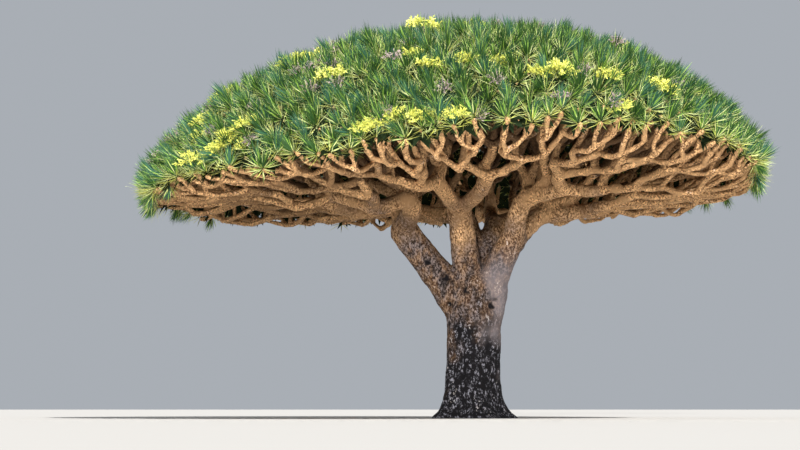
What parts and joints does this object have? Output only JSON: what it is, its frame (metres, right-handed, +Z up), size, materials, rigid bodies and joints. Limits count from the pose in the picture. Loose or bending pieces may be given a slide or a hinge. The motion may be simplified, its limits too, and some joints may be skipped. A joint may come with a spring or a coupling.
{
  "type": "dragon blood tree",
  "caption": "Mature dragon blood tree: a short stout trunk, boughs that fork in two again and again, and a wide umbrella crown of sword-leaf rosettes.",
  "frame": {"origin": "centre of the flat cut under the trunk, at ground level", "axes": "+Z up along the trunk, -Y towards the viewer of the picture, +X to the viewer's right"},
  "size_m": [10.6573, 10.509, 6.589],
  "materials": {
    "bark": "rough pitted grey-brown bark, darker towards the foot",
    "limb": "fine granular orange-brown bark",
    "foliage": "stiff waxy sword leaves, deep green with paler ones, and yellow-green blossom"
  },
  "bodies": {
    "root": {"trunk": "bark", "bough_back_left": "limb", "bough_back_left_1": "limb", "bough_back_left_1_1": "limb", "bough_back_left_2": "limb", "bough_back_right": "limb", "bough_back_right_1": "limb", "bough_back_right_1_1": "limb", "bough_back_right_2": "limb", "bough_front": "limb", "bough_front_1": "limb", "bough_front_1_1": "limb", "bough_front_2": "limb", "bough_left": "limb", "bough_left_1": "limb", "bough_left_1_1": "limb", "bough_left_1_1_1": "limb", "bough_left_1_2": "limb", "bough_left_2": "limb", "bough_left_2_1": "limb", "bough_left_3": "limb", "bough_right": "limb", "bough_right_1": "limb", "bough_right_1_1": "limb", "bough_right_1_1_1": "limb", "bough_right_1_2": "limb", "bough_right_2": "limb", "bough_right_2_1": "limb", "bough_right_3": "limb", "leaf_mass_back_left": "foliage", "leaf_mass_back_left_1": "foliage", "leaf_mass_back_left_1_1": "foliage", "leaf_mass_back_left_2": "foliage", "leaf_mass_back_right": "foliage", "leaf_mass_back_right_1": "foliage", "leaf_mass_back_right_1_1": "foliage", "leaf_mass_back_right_2": "foliage", "leaf_mass_front": "foliage", "leaf_mass_front_1": "foliage", "leaf_mass_front_1_1": "foliage", "leaf_mass_front_2": "foliage", "leaf_mass_left": "foliage", "leaf_mass_left_1": "foliage", "leaf_mass_left_1_1": "foliage", "leaf_mass_left_1_1_1": "foliage", "leaf_mass_left_1_2": "foliage", "leaf_mass_left_2": "foliage", "leaf_mass_left_2_1": "foliage", "leaf_mass_left_3": "foliage", "leaf_mass_right": "foliage", "leaf_mass_right_1": "foliage", "leaf_mass_right_1_1": "foliage", "leaf_mass_right_1_1_1": "foliage", "leaf_mass_right_1_2": "foliage", "leaf_mass_right_2": "foliage", "leaf_mass_right_2_1": "foliage", "leaf_mass_right_3": "foliage"}
  },
  "joints": []
}
